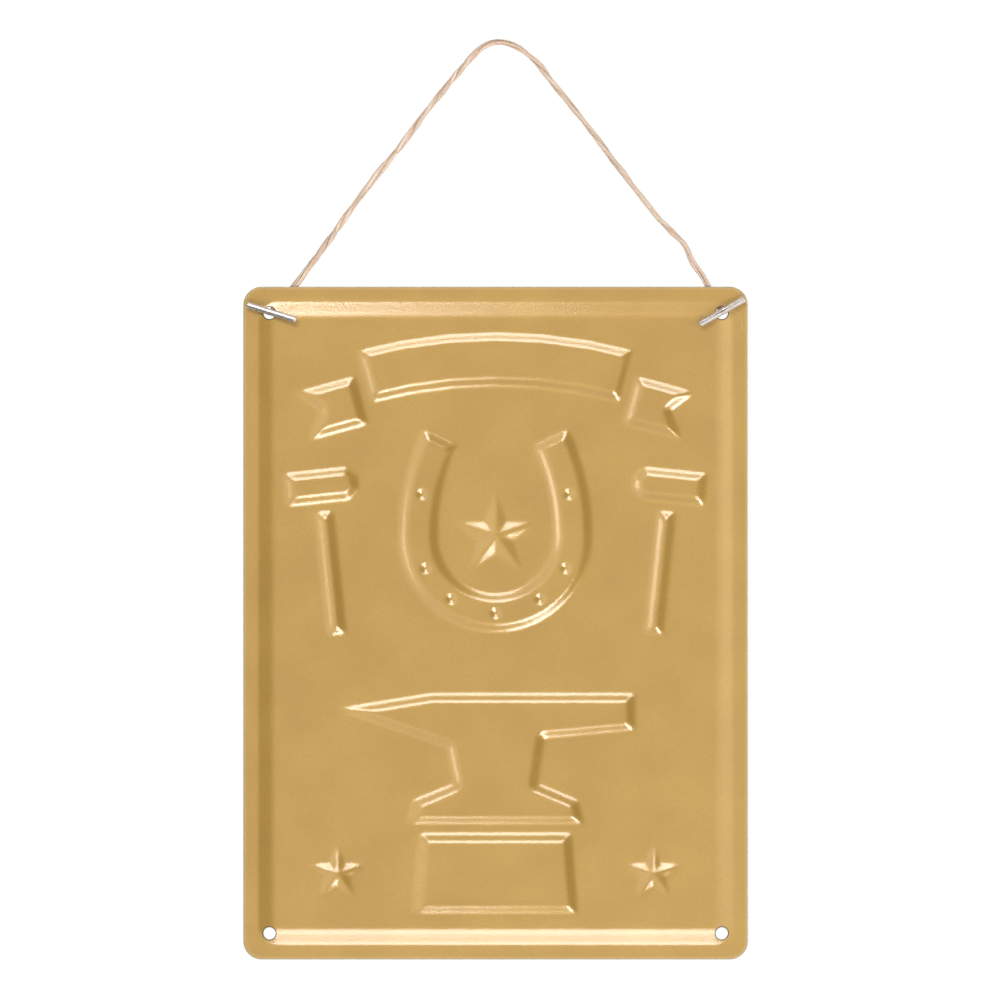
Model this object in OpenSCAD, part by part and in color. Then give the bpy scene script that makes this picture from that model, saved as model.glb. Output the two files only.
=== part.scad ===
// Pressed metal sign hung on a twine.
// The twine ends in two rolled metal toggles, which lie across the upper holes.
// Origin: the twine's centre line at the top of its loop, where a nail carries the sign.
// X runs across the sign, Z is up, and the sign's back faces -Y.

/* [Plate] */
// Width of the plate
plate_w = 150; // [146:1:156]
// Height of the plate
plate_h = 200; // [194:1:230]
// Radius of the plate's corners
corner_r = 5.5; // [3:0.1:8]
// Thickness of the sheet metal
sheet_t = 0.3; // [0.2:0.05:0.5]

/* [Pressed rim] */
// Width of the flat rim round the plate
rim_w = 4.5; // [3.5:0.1:6]
// Width of the slope between the rim and the field
shoulder_w = 4.2; // [3:0.1:5]
// Corner radius of the slope where it leaves the rim
shoulder_r = 5.8; // [5.4:0.1:8]
// How far the field stands out of the rim at the back
field_rise = 1.3; // [0.8:0.05:2]

/* [Corner holes] */
// Diameter of the four holes
hole_d = 3.7; // [3.6:0.1:4.6]
// Distance of each hole's centre from the plate's edges
hole_inset = 7.8; // [6.8:0.1:8.2]

/* [Twine] */
// Diameter of the twine
cord_d = 1.8; // [1.4:0.1:2]
// Height from the plate's top edge up to the top of the loop
hang_drop = 72.9; // [72.6:0.1:74]
// Space between the twine and the rim's front
cord_gap = 0.3; // [0.2:0.05:0.4]
// Space between the twine's free stretch and each end piece
bend_gap = 0.1; // [0.05:0.05:0.3]
// How far above the middle of its hole each end piece passes
end_lift = 0.3; // [0:0.1:0.6]

/* [Toggles] */
// Length of each toggle
toggle_len = 15.2; // [13:0.1:17]
// Outer diameter of the rolled tube
toggle_d = 2; // [1.9:0.05:2.4]
// Thickness of the rolled strip
toggle_wall = 0.25; // [0.2:0.01:0.35]
// Width of the open seam along the tube
seam_w = 0.16; // [0.1:0.01:0.3]
// Radius of the rounded edge at each open end
end_round = 0.12; // [0.05:0.01:0.18]
// Space between a toggle and the plate
toggle_gap = 0.2; // [0.1:0.05:0.3]
// Slope of the left toggle across the sign, in degrees
left_slope = 17.5; // [10:0.5:25]
// Slope of the right toggle across the sign, in degrees
right_slope = 29.6; // [22:0.1:38]
// How far the left toggle's middle lies beyond the twine that enters it
left_shift = 0.7; // [0:0.1:1]
// How far the right toggle's middle lies beyond the twine that enters it
right_shift = 0; // [0:0.1:1]

/* [Relief] */
// Depth of the pressed motifs
relief_depth = 1.2; // [0.6:0.05:1.8]
// Width of the slope round each motif
relief_slope = 3; // [2.4:0.1:3.2]
// Radius of the nail bumps in the horseshoe
bump_r = 1.5; // [1:0.1:1.8]
// Height of the nail bumps
bump_rise = 0.7; // [0.4:0.05:0.9]

/* [Ribbon] */
// Distance from the plate's top edge to the top of the ribbon
ribbon_top = 13; // [11:0.5:16]
// Height of the ribbon's band
ribbon_h = 17; // [14:0.5:19]
// Radius of the ribbon's arch at the middle of the band
ribbon_r = 150; // [135:5:165]
// Half of the band's angle, in degrees
ribbon_angle = 15.3; // [13:0.1:16]
// Length of each tail of the ribbon
tail_len = 20; // [17:0.5:22]
// Height of each tail
tail_h = 16; // [14:0.5:17]
// How far the tails lie below the band
tail_drop = 6.5; // [5:0.5:8]
// Depth of the notch in each tail
tail_notch = 6; // [4:0.5:7]
// Space between the band and its tails
tail_gap = 1.5; // [1.2:0.1:2.5]

/* [Horseshoe] */
// Height of the horseshoe's centre above the middle of the plate
shoe_z = 26; // [22:0.5:29]
// Radius of the horseshoe's toe at the middle of its band
shoe_r = 23; // [21:0.5:25]
// Width of the horseshoe's band
shoe_w = 12.6; // [11:0.1:13.4]
// Radius of the bend of its legs
shoe_leg_r = 68; // [60:1:80]
// Angle of the bend of its legs, in degrees
shoe_leg_angle = 26; // [22:1:28]
// Outer radius of the star inside the horseshoe
star_r = 13.5; // [10:0.5:14]

/* [Hammers] */
// Distance of each hammer from the middle of the plate
hammer_x = 47; // [45:0.5:48.5]
// Height of the hammers' feet above the middle of the plate
hammer_z = -4; // [-8:0.5:0]
// Length of a hammer's handle
handle_len = 38; // [34:0.5:42]
// Width of a hammer's handle
handle_w = 6.6; // [6.2:0.1:8]
// Length of a hammer's head
head_len = 23; // [20:0.5:24]
// Height of a hammer's head
head_h = 11; // [9:0.5:12]
// Lean of each hammer away from the middle, in degrees
hammer_lean = 6; // [0:1:8]

/* [Anvil] */
// Distance from the plate's bottom edge to the foot of the block
block_bottom = 13; // [11:0.5:16]
// Width of the block under the anvil
block_w = 50; // [44:1:56]
// Height of the block
block_h = 25; // [20:0.5:28]
// Space between the block and the anvil
anvil_gap = 1.6; // [1.2:0.1:3]
// Height of the anvil
anvil_h = 40; // [37:0.5:44]
// Length of the anvil's face from the middle to the heel
anvil_heel = 42; // [38:0.5:46]
// Length of the anvil's horn from the middle to its tip
anvil_horn = 50; // [46:0.5:54]
// Half of the anvil's width at the waist
anvil_waist = 13; // [11:0.5:15]
// Half of the anvil's width at the foot
anvil_foot = 27; // [24:0.5:30]
// Outer radius of the small stars beside the block
small_star_r = 9; // [7:0.5:10]
// Distance of the small stars from the middle of the plate
small_star_x = 47; // [44:0.5:50]

/* [Hidden] */
$fn = 48;
// Angle between the points of a pressed arc, in degrees
arc_step = 6;
// How far a cutting or joining shape runs past its partner
past = 0.2;
// Number of sides of the twine's tube
cord_sides = 8;
cord_r = cord_d / 2;
toggle_r = toggle_d / 2;
// Places of the holes, measured from the middle of the plate
hole_x = plate_w / 2 - hole_inset;
hole_z = plate_h / 2 - hole_inset;
// Height of the plate's middle, depth of the rim's back face, and height of the twine's end pieces
plate_z = -hang_drop - plate_h / 2;
rim_back_y = -cord_r - cord_gap - sheet_t;
swing_z = -hang_drop - hole_inset + end_lift;
// Half sizes of the rectangle that joins the centres of the shoulder's corner arcs
core_x = plate_w / 2 - rim_w - shoulder_r;
core_z = plate_h / 2 - rim_w - shoulder_r;
// The ribbon's arch centre, seen from the middle of the plate
ribbon_centre = [0, plate_h / 2 - ribbon_top - ribbon_r - ribbon_h / 2];
// Heights of the block's top, of the anvil's foot and of its face
block_top = -plate_h / 2 + block_bottom + block_h;
anvil_bottom = block_top + anvil_gap;
anvil_top = anvil_bottom + anvil_h;
// Height of the anvil's foot, height of its heel, and height over which its sides bend
foot_h = 8;
heel_h = 12;
bend_h = 5;
// How far the foot and the block narrow upwards on each side
side_taper = 2;
// Inner radius of a star, as a share of its outer radius
star_share = 0.42;
// Cut corner of a hammer's peen, as a share of the head's height
peen_share = 0.3;
// Place of the outermost nail bump on each leg of the horseshoe, as a share of the leg's bend
leg_bump_share = 0.4;
// Length over which a toggle lies on the field, from the hole's centre along the toggle
seat_reach = 2 * (rim_w + shoulder_w - hole_inset);
// The twine's centre line in X and Z between its two holes, from left to right
cord_route = [
    [-63.5, -76.5], [-59.3, -72], [-56, -67.5], [-52.5, -63], [-49.2, -58.5],
    [-46, -54], [-42.8, -49.5], [-39.5, -45], [-36.1, -40.5], [-32.3, -36],
    [-28.7, -31.5], [-25.2, -27], [-22, -22.5], [-18.5, -18], [-14.9, -13.5],
    [-11.1, -9], [-7, -4.5], [-3.4, -1.2], [0.6, 0], [5.1, -0.9],
    [9.3, -3.5], [13.4, -7.5], [16.8, -12], [20.5, -16.5], [24.1, -21],
    [27.7, -25.5], [31.1, -30], [34.4, -34.5], [37.9, -39], [41.3, -43.5],
    [44.9, -48], [48.5, -52.5], [52.4, -56.5], [56.2, -60.4], [58.3, -65],
    [61.4, -69.5], [63.3, -73], [65.4, -77]
];

// Small vector helpers
function unit(v) = v / norm(v);
function left_of(v) = [-v[1], v[0]];
function turned(p, a) = [p[0] * cos(a) - p[1] * sin(a), p[0] * sin(a) + p[1] * cos(a)];
function reversed(points) = [for (i = [len(points) - 1:-1:0]) points[i]];
function mirrored(points) = reversed([for (p = points) [-p[0], p[1]]]);

// Points on an arc from angle a to angle b, both ends included
function arc(centre, r, a, b) =
    let (n = ceil(abs(b - a) / arc_step))
    [for (i = [0:n]) centre + r * [cos(a + (b - a) * i / n), sin(a + (b - a) * i / n)]];

// An outline drawn in by d, or out where d is negative. Outlines run anticlockwise.
function drawn_in(points, d) =
    let (n = len(points))
    [for (i = [0:n - 1])
        let (
            before = left_of(unit(points[i] - points[(i + n - 1) % n])),
            after = left_of(unit(points[(i + 1) % n] - points[i]))
        )
        points[i] + d * (before + after) / (1 + before * after)];

// Whether corner i of the remaining outline can be cut off without touching another corner
function is_free(points, left, i) =
    let (
        n = len(left),
        a = points[left[(i + n - 1) % n]],
        b = points[left[i]],
        c = points[left[(i + 1) % n]],
        inside = [for (k = left)
            let (p = points[k])
            if (p != a && p != b && p != c
                && cross(b - a, p - a) >= 0 && cross(c - b, p - b) >= 0 && cross(a - c, p - c) >= 0)
                k]
    )
    cross(b - a, c - b) > 0 && len(inside) == 0;

// An outline with hollows, cut into triangles one corner at a time
function triangles(points, left) =
    len(left) == 3 ? [left] :
    let (
        n = len(left),
        i = [for (i = [0:n - 1]) if (is_free(points, left, i)) i][0],
        rest = [for (k = [0:n - 1]) if (k != i) left[k]]
    )
    concat([[left[(i + n - 1) % n], left[i], left[(i + 1) % n]]], triangles(points, rest));
function filled(points) = triangles(points, [for (i = [0:len(points) - 1]) i]);

// Draws a shape that is written in X and Z with its depth along Z, facing -Y
module facing_back() rotate([90, 0, 0]) children();

// A solid between two outlines of equally many points, at depths y0 and y1
module between(outline0, y0, outline1, y1) {
    n = len(outline0);
    points = [
        for (p = outline0) [p[0], y0, p[1]],
        for (p = outline1) [p[0], y1, p[1]]
    ];
    sides = [for (i = [0:n - 1]) let (k = (i + 1) % n) each [[i, k, n + k], [i, n + k, n + i]]];
    back = [for (t = filled(outline0)) [t[2], t[1], t[0]]];
    front = [for (t = filled(outline1)) [n + t[0], n + t[1], n + t[2]]];
    polyhedron(points, concat(back, front, sides));
}

// A motif pressed into the field from the back, with a slope all round
module pressed_motif(outline) {
    per_depth = relief_slope / relief_depth;
    between(
        drawn_in(outline, -past * per_depth), -field_rise - past,
        drawn_in(outline, relief_slope), relief_depth - field_rise
    );
}

// A star whose ten facets meet in a point, pressed into the field from the back
module pressed_star(centre, r) {
    outline = [for (i = [0:9])
        centre + (i % 2 == 0 ? r : r * star_share) * [cos(90 + 36 * i), sin(90 + 36 * i)]];
    grown = 1 + past / relief_depth;
    points = [
        for (p = outline) let (q = centre + (p - centre) * grown) [q[0], -field_rise - past, q[1]],
        [centre[0], relief_depth - field_rise, centre[1]]
    ];
    back = [for (t = filled(outline)) [t[2], t[1], t[0]]];
    polyhedron(points, concat(back, [for (i = [0:9]) [i, (i + 1) % 10, 10]]));
}

// The ribbon's band
function band_outline() = concat(
    arc(ribbon_centre, ribbon_r + ribbon_h / 2, 90 - ribbon_angle, 90 + ribbon_angle),
    arc(ribbon_centre, ribbon_r - ribbon_h / 2, 90 + ribbon_angle, 90 - ribbon_angle)
);

// The ribbon's right tail, which starts beside the end of the band
function tail_outline() =
    let (
        start = ribbon_centre + ribbon_r * [sin(ribbon_angle), cos(ribbon_angle)],
        low = -tail_drop - tail_h / 2,
        high = low + tail_h,
        far = tail_gap + tail_len,
        local = [
            [tail_gap, low], [far, low], [far - tail_notch, (low + high) / 2], [far, high], [tail_gap, high]
        ]
    )
    [for (p = local) start + turned(p, -ribbon_angle)];

// A line along the horseshoe, at the given distance outside its middle line
function shoe_side(half) =
    let (
        centre = [0, shoe_z],
        right_leg = centre + [shoe_r - shoe_leg_r, 0],
        left_leg = centre - [shoe_r - shoe_leg_r, 0]
    )
    concat(
        arc(left_leg, shoe_leg_r + half, 180 - shoe_leg_angle, 180 - arc_step),
        arc(centre, shoe_r + half, 180, 360),
        arc(right_leg, shoe_leg_r + half, arc_step, shoe_leg_angle)
    );
function shoe_outline() = concat(shoe_side(shoe_w / 2), reversed(shoe_side(-shoe_w / 2)));

// Places of the nail bumps on the horseshoe's middle line
function bump_places() =
    let (
        centre = [0, shoe_z],
        toe_angles = [-155, -125, -90, -55, -25],
        leg_angle = shoe_leg_angle * leg_bump_share,
        leg_x = shoe_r - shoe_leg_r + shoe_leg_r * cos(leg_angle),
        leg_z = shoe_leg_r * sin(leg_angle)
    )
    concat(
        [for (a = toe_angles) centre + shoe_r * [cos(a), sin(a)]],
        [for (s = [-1, 1]) centre + [s * leg_x, leg_z]]
    );

// The right hammer's handle and head, upright and then leaned outwards
function leaned(points) = [for (p = points) [hammer_x, hammer_z] + turned(p, -hammer_lean)];
function handle_outline() = leaned([
    [-handle_w / 2, 0], [handle_w / 2, 0], [handle_w / 2, handle_len], [-handle_w / 2, handle_len]
]);
function head_outline() =
    let (
        low = handle_len + tail_gap,
        high = low + head_h,
        chamfer = head_h * peen_share
    )
    leaned([
        [-head_len / 2, low + chamfer], [-head_len / 2 + chamfer, low], [head_len / 2, low],
        [head_len / 2, high], [-head_len / 2 + chamfer, high], [-head_len / 2, high - chamfer]
    ]);

// The anvil, from the left of its foot round to its horn
function anvil_outline() =
    let (foot_top = anvil_bottom + foot_h, heel_low = anvil_top - heel_h)
    [
        [-anvil_foot, anvil_bottom],
        [anvil_foot, anvil_bottom],
        [anvil_foot - side_taper, foot_top],
        [anvil_waist, foot_top + bend_h],
        [anvil_waist + side_taper, heel_low - bend_h / 2],
        [anvil_heel, heel_low],
        [anvil_heel, anvil_top],
        [-anvil_waist - heel_h / 2, anvil_top],
        [-anvil_horn, anvil_top - bend_h],
        [-anvil_waist - side_taper, heel_low - bend_h],
        [-anvil_waist, foot_top + bend_h],
        [-anvil_foot + side_taper, foot_top]
    ];

// The block that the anvil stands on
function block_outline() = [
    [-block_w / 2, block_top - block_h],
    [block_w / 2, block_top - block_h],
    [block_w / 2 - side_taper, block_top],
    [-block_w / 2 + side_taper, block_top]
];

// All that is pressed into the field from the back
module motifs() {
    pressed_motif(band_outline());
    pressed_motif(tail_outline());
    pressed_motif(mirrored(tail_outline()));
    pressed_motif(shoe_outline());
    pressed_motif(handle_outline());
    pressed_motif(mirrored(handle_outline()));
    pressed_motif(head_outline());
    pressed_motif(mirrored(head_outline()));
    pressed_motif(anvil_outline());
    pressed_motif(block_outline());
    pressed_star([0, shoe_z], star_r);
    for (s = [-1, 1]) pressed_star([s * small_star_x, block_top - block_h / 2], small_star_r);
}

// The nail bumps, which stand out of the horseshoe's floor
module bumps() {
    foot_y = relief_depth - field_rise;
    foot_r = bump_r * (1 + past / bump_rise / 2);
    for (p = bump_places())
        translate([p[0], foot_y + past, p[1]])
            facing_back() cylinder(h = bump_rise + past, r1 = foot_r, r2 = bump_r / 2);
}

// The raised field: a low frustum with rounded corners, whose foot runs past the rim's back face
module field() {
    per_depth = shoulder_w / field_rise;
    high = -field_rise;
    low = past;
    grow_low = past * per_depth;
    // The slopes at the left and the right
    translate([0, 0, -core_z])
        linear_extrude(height = 2 * core_z)
            polygon([
                [-core_x - shoulder_r - grow_low, low], [core_x + shoulder_r + grow_low, low],
                [core_x + shoulder_r - shoulder_w, high], [-core_x - shoulder_r + shoulder_w, high]
            ]);
    // The slopes at the top and the bottom
    translate([-core_x, 0, 0])
        rotate([90, 0, 90])
            linear_extrude(height = 2 * core_x)
                polygon([
                    [low, -core_z - shoulder_r - grow_low], [low, core_z + shoulder_r + grow_low],
                    [high, core_z + shoulder_r - shoulder_w], [high, -core_z - shoulder_r + shoulder_w]
                ]);
    // The corners
    for (sx = [-1, 1], sz = [-1, 1])
        translate([sx * core_x, low, sz * core_z])
            facing_back()
                cylinder(h = low - high, r1 = shoulder_r + grow_low, r2 = shoulder_r - shoulder_w);
}

// The plate's outline with rounded corners, grown by extra, from the rim's back face to a depth
module outline_slab(depth, extra) {
    half_x = plate_w / 2 - corner_r;
    half_z = plate_h / 2 - corner_r;
    translate([0, depth, 0])
        facing_back() linear_extrude(height = depth) {
            square([2 * half_x, plate_h + 2 * extra], center = true);
            square([plate_w + 2 * extra, 2 * half_z], center = true);
            for (sx = [-1, 1], sz = [-1, 1])
                translate([sx * half_x, sz * half_z]) circle(r = corner_r + extra);
        }
}

// A block whose back face has the pressed shape
module pressed_block(depth, extra) {
    difference() {
        union() {
            outline_slab(depth, extra);
            field();
        }
        motifs();
    }
    bumps();
}

// The plate: the pressed block less the same block a sheet's thickness further forward
module plate() {
    color([0.76, 0.62, 0.36])
        translate([0, rim_back_y, plate_z])
            difference() {
                pressed_block(sheet_t + past, 0);
                translate([0, sheet_t, 0]) pressed_block(2 * sheet_t, 1);
                for (sx = [-1, 1], sz = [-1, 1])
                    translate([sx * hole_x, sheet_t + past, sz * hole_z])
                        facing_back() cylinder(h = field_rise + sheet_t + 2 * past, d = hole_d);
            }
}

// A swept tube: one ring square to the route at each of its points
function ring(points, i) =
    let (
        n = len(points),
        ahead = points[min(i + 1, n - 1)] - points[max(i - 1, 0)],
        side = left_of(unit([ahead[0], ahead[2]]))
    )
    [for (k = [0:cord_sides - 1])
        let (a = 360 * (k + 0.5) / cord_sides)
        points[i] + cord_r * [cos(a) * side[0], sin(a), cos(a) * side[1]]];
module swept(points) {
    n = len(points);
    sides = cord_sides;
    rings = [for (i = [0:n - 1]) each ring(points, i)];
    walls = [for (i = [0:n - 2], k = [0:sides - 1])
        let (a = i * sides + k, b = i * sides + (k + 1) % sides)
        each [[a, b, b + sides], [a, b + sides, a + sides]]];
    polyhedron(rings, concat(
        [[for (k = [sides - 1:-1:0]) k]],
        [[for (k = [0:sides - 1]) (n - 1) * sides + k]],
        walls
    ));
}

// The free stretch of the twine, from the bend at one hole over the nail to the other
module hanging_cord() {
    left = [-hole_x, swing_z];
    right = [hole_x, swing_z];
    first = left + (cord_r + bend_gap) * unit(cord_route[0] - left);
    last = right + (cord_r + bend_gap) * unit(cord_route[len(cord_route) - 1] - right);
    color([0.85, 0.72, 0.58])
        swept([for (p = concat([first], cord_route, [last])) [p[0], 0, p[1]]]);
}

// A toggle's low end rests on the rim, and it rides up on the field at the length seat_reach.
// These give its lean and how far behind the rim its axis passes the hole's centre.
function low_arm(shift) = toggle_len / 2 - shift;
function lean(shift) = atan(field_rise / (seat_reach + low_arm(shift)));
function seat_height(shift) =
    toggle_gap + toggle_r / cos(lean(shift)) + low_arm(shift) * sin(lean(shift));

// The end piece of the twine: from the toggle's axis through the hole to a ball at the bend
module cord_end(side, shift) {
    reach = seat_height(shift) - rim_back_y;
    color([0.85, 0.72, 0.58])
        translate([side * hole_x, 0, swing_z])
            rotate([90, 0, 0])
                rotate_extrude() {
                    square([cord_r, reach]);
                    intersection() {
                        circle(r = cord_r);
                        translate([0, -cord_r]) square([cord_r, 2 * cord_r]);
                    }
                }
}

// A strip rolled into a tube along X, with rounded ends and its open seam towards -Y
module rolled_tube() {
    half = toggle_len / 2;
    bore_r = toggle_r - toggle_wall;
    round_x = toggle_r - end_round;
    difference() {
        rotate([0, 90, 0])
            rotate_extrude()
                polygon(concat(
                    [[bore_r, -half]],
                    arc([round_x, -half + end_round], end_round, -90, 0),
                    arc([round_x, half - end_round], end_round, 0, 90),
                    [[bore_r, half]]
                ));
        translate([-half - past, -toggle_r - past, -seam_w / 2])
            cube([toggle_len + 2 * past, toggle_r + past, seam_w]);
    }
}

// A toggle: the rolled tube with an opening at the front, where the twine enters it
module toggle(side, slope, shift) {
    color([0.78, 0.78, 0.8])
        translate([side * hole_x, rim_back_y - seat_height(shift), swing_z])
            rotate([0, slope, 0])
                difference() {
                    rotate([0, 0, -lean(shift)]) translate([shift, 0, 0]) rolled_tube();
                    rotate([-90, 0, 0]) cylinder(h = toggle_d, r = cord_r);
                }
}

module left_cord_end() cord_end(-1, left_shift);
module right_cord_end() cord_end(1, -right_shift);
module left_toggle() toggle(-1, left_slope, left_shift);
module right_toggle() toggle(1, 180 - right_slope, -right_shift);

plate();
hanging_cord();
left_cord_end();
right_cord_end();
left_toggle();
right_toggle();
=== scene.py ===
import math

import bpy
import numpy as np
from mathutils import Matrix, Vector
from mathutils.geometry import delaunay_2d_cdt


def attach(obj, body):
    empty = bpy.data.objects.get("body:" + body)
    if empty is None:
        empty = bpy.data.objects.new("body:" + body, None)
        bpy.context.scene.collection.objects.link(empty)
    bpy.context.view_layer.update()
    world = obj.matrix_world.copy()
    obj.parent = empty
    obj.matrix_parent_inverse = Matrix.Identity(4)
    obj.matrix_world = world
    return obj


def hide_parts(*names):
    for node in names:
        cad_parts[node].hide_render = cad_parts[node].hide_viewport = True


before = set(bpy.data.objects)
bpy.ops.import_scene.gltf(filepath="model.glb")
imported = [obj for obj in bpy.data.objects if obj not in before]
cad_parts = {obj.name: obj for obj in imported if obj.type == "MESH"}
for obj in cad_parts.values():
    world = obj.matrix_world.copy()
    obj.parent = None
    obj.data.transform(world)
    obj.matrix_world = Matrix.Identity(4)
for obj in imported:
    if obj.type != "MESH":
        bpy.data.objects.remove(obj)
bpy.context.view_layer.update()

# Looks of the pressed metal sign on its twine. The sizes are those of the CAD source, in millimetres.
MM = 0.001
scene = bpy.context.scene

# The plate and its relief
PLATE_W, PLATE_H, CORNER_R, SHEET_T = 150.0, 200.0, 5.5, 0.3
RIM_W, SHOULDER_W, SHOULDER_R, FIELD_RISE = 4.5, 4.2, 5.8, 1.3
HOLE_R, HOLE_INSET = 1.85, 7.8
RELIEF_DEPTH, RELIEF_SLOPE = 1.2, 3.0
HOLE_X, HOLE_Z = PLATE_W / 2 - HOLE_INSET, PLATE_H / 2 - HOLE_INSET

# The twine and the toggles
CORD_D = 1.8
CORD_R = CORD_D / 2
CORD_GAP = 0.3
BEND_GAP = 0.1
END_LIFT = 0.3
TOGGLE_LEN, TOGGLE_R, TOGGLE_WALL, TOGGLE_GAP = 15.2, 1.0, 0.25, 0.2
SLOPES = {"left": 17.5, "right": 180 - 29.6}
SHIFTS = {"left": 0.7, "right": 0.0}
SIDES = {"left": -1, "right": 1}

# Places in the row frame
HANG_DROP = 72.9
PLATE_Z = -HANG_DROP - PLATE_H / 2
SWING_Z = -HANG_DROP - HOLE_INSET + END_LIFT
RIM_BACK_Y = -CORD_R - CORD_GAP - SHEET_T

# The twine's route in X and Z between its two holes, as the CAD source has it
ROUTE = [
    (-63.5, -76.5), (-59.3, -72), (-56, -67.5), (-52.5, -63), (-49.2, -58.5),
    (-46, -54), (-42.8, -49.5), (-39.5, -45), (-36.1, -40.5), (-32.3, -36),
    (-28.7, -31.5), (-25.2, -27), (-22, -22.5), (-18.5, -18), (-14.9, -13.5),
    (-11.1, -9), (-7, -4.5), (-3.4, -1.2), (0.6, 0), (5.1, -0.9),
    (9.3, -3.5), (13.4, -7.5), (16.8, -12), (20.5, -16.5), (24.1, -21),
    (27.7, -25.5), (31.1, -30), (34.4, -34.5), (37.9, -39), (41.3, -43.5),
    (44.9, -48), (48.5, -52.5), (52.4, -56.5), (56.2, -60.4), (58.3, -65),
    (61.4, -69.5), (63.3, -73), (65.4, -77),
]

# The photograph's frame: its middle in X and Z and its width, at the depth of the rim
VIEW_X, VIEW_Z, VIEW_WIDTH = 1.29, -136.3, 297.3
LENS, SENSOR, FAR_CLIP = 200.0, 36.0, 20


def make_camera():
    data = bpy.data.cameras.new("photo_camera")
    data.lens = LENS
    data.sensor_width = SENSOR
    data.clip_end = FAR_CLIP
    camera = bpy.data.objects.new("photo_camera", data)
    distance = VIEW_WIDTH * LENS / SENSOR
    camera.location = Vector((VIEW_X, RIM_BACK_Y - distance, VIEW_Z)) * MM
    camera.rotation_euler = (math.radians(90), 0, 0)
    scene.collection.objects.link(camera)
    scene.camera = camera


def mesh_object(name, points, faces, body):
    """A smooth mesh object from points in millimetres, which rides on a body."""
    mesh = bpy.data.meshes.new(name)
    mesh.from_pydata((np.asarray(points, float) * MM).tolist(), [], faces)
    mesh.update()
    mesh.shade_smooth()
    piece = bpy.data.objects.new(name, mesh)
    scene.collection.objects.link(piece)
    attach(piece, body)
    return piece


def add_attribute(piece, name, values):
    """Gives each point of a piece a value, or a vector where values has rows."""
    values = np.asarray(values, np.float32)
    kind, key = ("FLOAT", "value") if values.ndim == 1 else ("FLOAT_VECTOR", "vector")
    piece.data.attributes.new(name, kind, "POINT").data.foreach_set(key, values.ravel())


def unit(v):
    return v / np.linalg.norm(v, axis=-1, keepdims=True)


# How finely a smooth curve is drawn between two of its points
SPLINE_PARTS = 40


def smooth_curve(points, step):
    """Points about step apart on a smooth curve through the given points, and how far along it each lies."""
    p = np.asarray(points, float)
    p = np.vstack([2 * p[0] - p[1], p, 2 * p[-1] - p[-2]])
    fine = []
    for a, b, c, d in zip(p, p[1:], p[2:], p[3:]):
        for t in np.linspace(0, 1, SPLINE_PARTS, endpoint=False):
            fine.append(0.5 * (2 * b + (c - a) * t + (2 * a - 5 * b + 4 * c - d) * t**2
                               + (3 * b - a - 3 * c + d) * t**3))
    fine.append(p[-2])
    fine = np.array(fine)
    run = np.concatenate([[0], np.cumsum(np.linalg.norm(np.diff(fine, axis=0), axis=1))])
    at = np.linspace(0, run[-1], int(round(run[-1] / step)) + 1)
    return np.stack([np.interp(at, run, fine[:, k]) for k in range(3)], axis=1), at


# Seeds of the random draws, and the range of a wave's phase
TWINE_SEED, FIBRE_SEED, END_SEED, ROLL_SEED = 3, 11, 21, 5
PHASES = (0, 6.28)


def wander(at, lengths, seed):
    """A smooth random value of about -1 to 1 along a line, from a few sine waves."""
    random = np.random.default_rng(seed)
    waves = [np.sin(2 * math.pi * at / length + random.uniform(*PHASES)) for length in lengths]
    return sum(waves) / len(waves) ** 0.5


def wall_faces(rings, sides):
    """The faces between each ring of points and the next."""
    faces = []
    for i in range(rings - 1):
        for k in range(sides):
            a, b = i * sides + k, i * sides + (k + 1) % sides
            faces.append((a, b, b + sides, a + sides))
    return faces


def tube(centres, across, radii):
    """Points and faces of a closed tube. radii has a row for each ring, and across is where it starts."""
    n, sides = radii.shape
    ahead = unit(np.gradient(centres, axis=0))
    u = unit(across - np.sum(across * ahead, axis=1, keepdims=True) * ahead)
    v = np.cross(ahead, u)
    angles = np.linspace(0, 2 * math.pi, sides, endpoint=False)
    spokes = u[:, None] * np.cos(angles)[:, None] + v[:, None] * np.sin(angles)[:, None]
    rings = centres[:, None] + radii[:, :, None] * spokes
    faces = wall_faces(n, sides)
    faces.append(tuple(range(sides - 1, -1, -1)))
    faces.append(tuple((n - 1) * sides + k for k in range(sides)))
    return rings.reshape(-1, 3), faces


def grain_of(along, angle):
    """Places in the grain: the distance along the piece in millimetres, and the angle's cosine and sine."""
    return np.stack([along, np.cos(angle), np.sin(angle)], axis=1)


class Parts:
    """Collects pieces of twine into one mesh, with each point's place in the grain."""

    def __init__(self):
        self.points, self.faces, self.grain = [], [], []

    def add(self, points, faces, along, angle):
        first = len(self.points)
        self.points += [tuple(p) for p in points]
        self.faces += [tuple(first + i for i in face) for face in faces]
        self.grain += list(grain_of(along, angle))

    def add_tube(self, centres, across, radii, along, angles):
        """Adds a tube. along has a value for each of its rings, and angles one for each of its sides."""
        points, faces = tube(centres, across, radii)
        rings, sides = radii.shape
        self.add(points, faces, np.repeat(along, sides), np.tile(angles, rings))

    def piece(self, name, body):
        made = mesh_object(name, self.points, self.faces, body)
        add_attribute(made, "grain", self.grain)
        return made


# The twine's section: two soft plies that press each other nearly round, with a groove on either side
TWIST, FIRST_TURN = 27.0, 0.55
SECTION_SIDES = 40
SECTION_OVAL = 0.12
GROOVE_DEPTH, GROOVE_WIDTH = 0.17, 0.24
RING_STEP = 0.4
# Half width of the free stretch at its left and its right end, and of the end pieces
LEFT_GIRTH, RIGHT_GIRTH, END_GIRTH = 0.91, 0.79, 0.86
# Radius of the rounded bends, as a share of the twine's
BEND_SHARE = 0.97
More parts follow.
